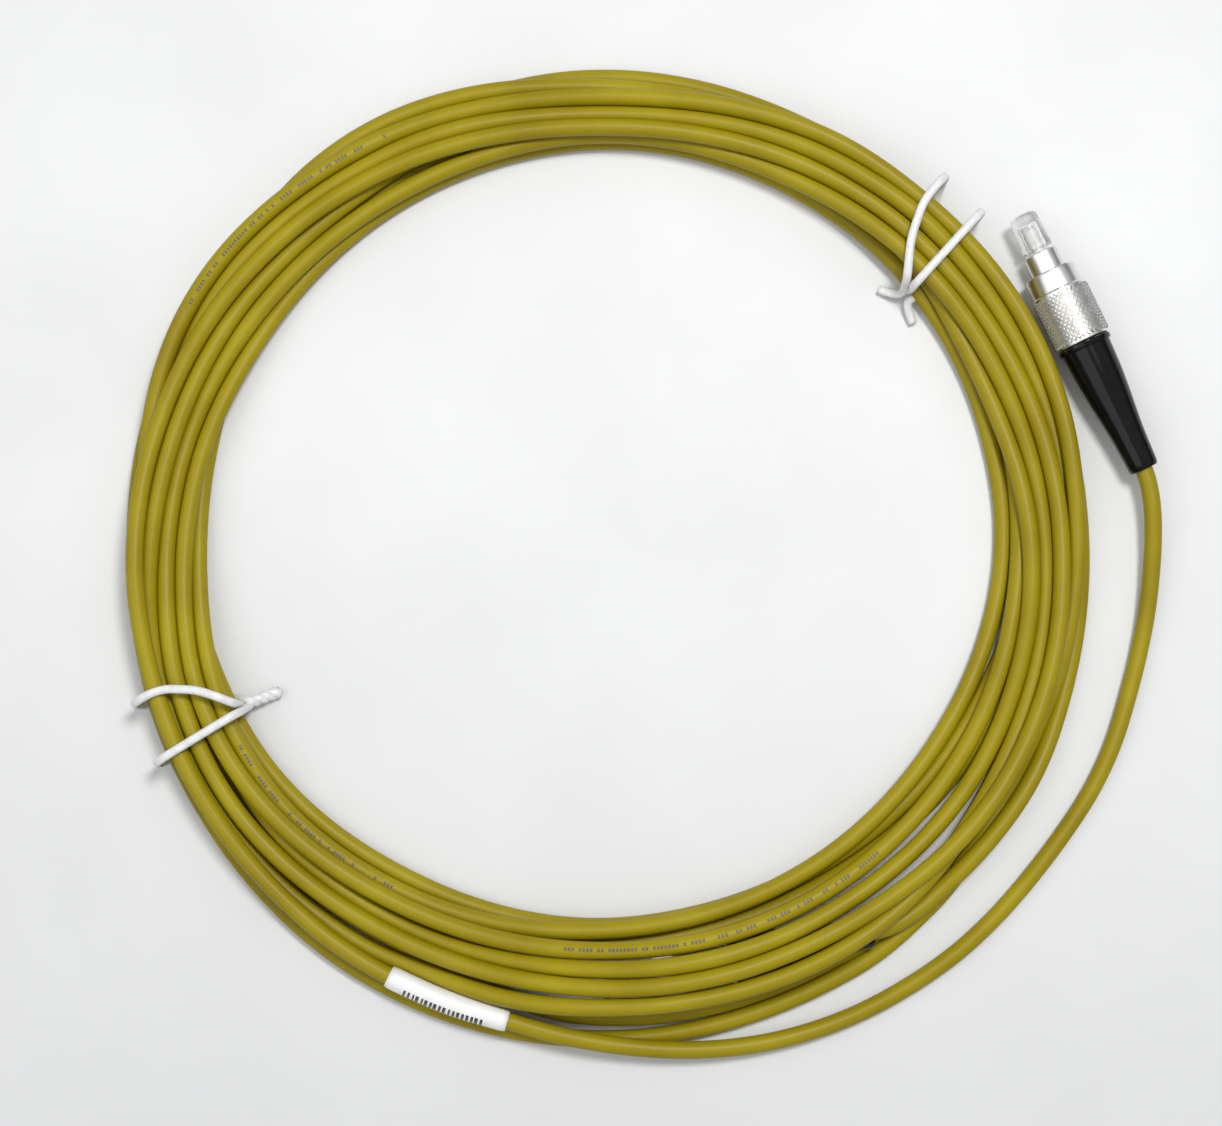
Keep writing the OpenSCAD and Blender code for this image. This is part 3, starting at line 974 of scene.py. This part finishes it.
BOOT_OUTLINE = [
    (3.02, 0), (4.25, 0), (4.55, -0.06), (4.7, -0.22), (4.7, -0.85), (4.6, -1.02),
    (4.32, -1.12), (4.25, -2.5), (4.15, -5), (4.03, -7), (3.85, -9), (3.64, -11), (3.4, -13),
    (3.18, -15), (3.06, -16), (2.92, -17.6), (2.82, -19), (2.68, -21.5), (2.6, -23.2),
    (2.5, -23.7), (2.25, -24), (1.75, -24), (1.6, -23.8), (1.58, -13.7), (2.7, -12.6),
    (2.7, -3.1), (3.02, -3.1),
]
BOOT_SIDES = 72


def make_boot(side):
    """The tapered boot, with a lip round its front"""
    boot = lathe(f"boot_{side}_rubber", CONNECTORS[side], BOOT_OUTLINE, BOOT_SIDES)
    crease(boot, 35)
    return finish_piece(boot, "cord", "boot_rubber", f"boot_{side}")


CAP_REAR = 17.85
CAP_TIP = 24.3
CAP_OUTLINE = [
    (1.57, CAP_REAR), (2.45, CAP_REAR), (2.6, CAP_REAR + 0.08), (2.65, CAP_REAR + 0.25),
    (2.65, CAP_REAR + 1), (2.55, CAP_REAR + 1.15), (2.5, CAP_REAR + 1.4), (2.46, CAP_TIP - 1.0),
    (2.4, CAP_TIP - 0.55), (2.2, CAP_TIP - 0.2), (1.9, CAP_TIP - 0.04), (1.6, CAP_TIP),
    (0.02, CAP_TIP), (0.02, 22.45), (1.1, 22.4), (1.27, 22.2), (1.27, CAP_REAR + 0.3),
]
CAP_SIDES = 64


def make_cap(side):
    """A thin clear cap, closed in front, with a thicker rim behind"""
    cap = lathe(f"cap_{side}", CONNECTORS[side], CAP_OUTLINE, CAP_SIDES)
    crease(cap, 40)
    return finish_piece(cap, f"cap_{side}", "cap_clear", f"dust_cap_{side}")


SPRING_R = 1.73
SPRING_WIRE_R = 0.2
SPRING_TURNS = 6
SPRING_REAR = 2
SPRING_FRONT = 8.5
SPRING_SIDES = 8
SPRING_STEPS = 24


def make_spring(side):
    """The spring's helix at its rest length; the real spring shortens as the ferrule is pushed
    back, this mesh does not
    """
    sides, steps = SPRING_SIDES, SPRING_STEPS * SPRING_TURNS
    turn = 2 * np.pi * np.arange(steps + 1) / SPRING_STEPS
    along = np.linspace(SPRING_REAR + SPRING_WIRE_R, SPRING_FRONT - SPRING_WIRE_R, steps + 1)
    line = np.stack([SPRING_R * np.cos(turn), SPRING_R * np.sin(turn), along], 1)
    rings = tube_rings(line, SPRING_WIRE_R, sides).reshape(-1, 3)
    faces = grid_faces(steps + 1, sides)
    faces += [tuple(range(sides))[::-1], tuple(steps * sides + k for k in range(sides))]
    spring = new_object(f"spring_{side}", place(CONNECTORS[side], rings), faces)
    wear(spring, "spring_steel")
    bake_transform(spring)
    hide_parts(f"ferrule_spring_{side}")


boots = [make_boot(side) for side in CONNECTORS]
for connector_side in CONNECTORS:
    make_nut(connector_side)
    make_cap(connector_side)
    make_spring(connector_side)


# ---------- CAD nodes that stay ----------

NODE_SLOTS = {
    "nut_ring": "spring_steel",
    "front_body": "nickel_plate",
    "back_post": "brass",
    "ferrule_flange": "nickel_plate",
    "ferrule": "zirconia",
    "crimp_ring": "nickel_plate",
    "aramid_yarn": "aramid",
    "buffered_fiber": "buffer",
    "glass_fiber": "fiber_glass",
}


def finish_nodes():
    """Each CAD node that stays gets its slot's material"""
    for name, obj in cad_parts.items():
        kind = name.rsplit("_", 1)[0]
        if kind in NODE_SLOTS:
            wear(obj, NODE_SLOTS[kind])


finish_nodes()


# ---------- Floor and light ----------


def make_floor():
    """Plain pale paper, with painted shade that makes it a little darker towards the near side"""
    size = 1.5
    verts = [(-size, -size, 0), (size, -size, 0), (size, size, 0), (-size, size, 0)]
    floor = new_object("floor", verts, [(0, 1, 2, 3)], flat=True)
    nodes = Nodes("floor_paper")
    noise = nodes.noise(25.0, 3.0)
    # Painted shade: the mix factor falls towards the near side, where the lamps' light falls off
    farness = nodes.math("MULTIPLY", nodes.split(nodes.coordinates())[1], 5.0)
    painted_falloff = nodes.math("ADD", farness, 0.9)
    paper = nodes.ramp(noise, [(0.35, (0.71, 0.71, 0.71)), (0.65, (0.75, 0.75, 0.748))])
    # The flat grey mixed in near the camera is painted shade, not a tone of the paper
    nodes.set(Base_Color=nodes.mix(painted_falloff, (0.6, 0.6, 0.6), paper), Roughness=0.6)
    floor.data.materials.append(nodes.material)


def add_light(name, location, size, power):
    data = bpy.data.lights.new(name, "AREA")
    data.size = size
    data.energy = power
    light = bpy.data.objects.new(name, data)
    bpy.context.collection.objects.link(light)
    light.location = location
    light.rotation_euler = (-Vector(location)).to_track_quat("-Z", "Y").to_euler()


def make_lights():
    """Two soft lamps, and a sky that is darker low down, for the metal to mirror"""
    add_light("key", (0.14, 0.19, 0.7), 0.16, 3.4)
    add_light("fill", (-0.45, -0.1, 0.7), 0.8, 2.1)
    world = bpy.data.worlds.new("world")
    world.use_nodes = True
    tree = world.node_tree
    background = tree.nodes["Background"]
    split = tree.nodes.new("ShaderNodeSeparateXYZ")
    tree.links.new(tree.nodes.new("ShaderNodeTexCoord").outputs["Generated"], split.inputs[0])
    sky = tree.nodes.new("ShaderNodeValToRGB")
    low, high = sky.color_ramp.elements
    low.position, low.color = 0.15, (0.05, 0.05, 0.05, 1)
    high.position, high.color = 0.6, (0.5, 0.51, 0.525, 1)
    tree.links.new(split.outputs[2], sky.inputs[0])
    tree.links.new(sky.outputs[0], background.inputs[0])
    bpy.context.scene.world = world
    bpy.context.scene.view_settings.view_transform = "Standard"


make_floor()
make_lights()
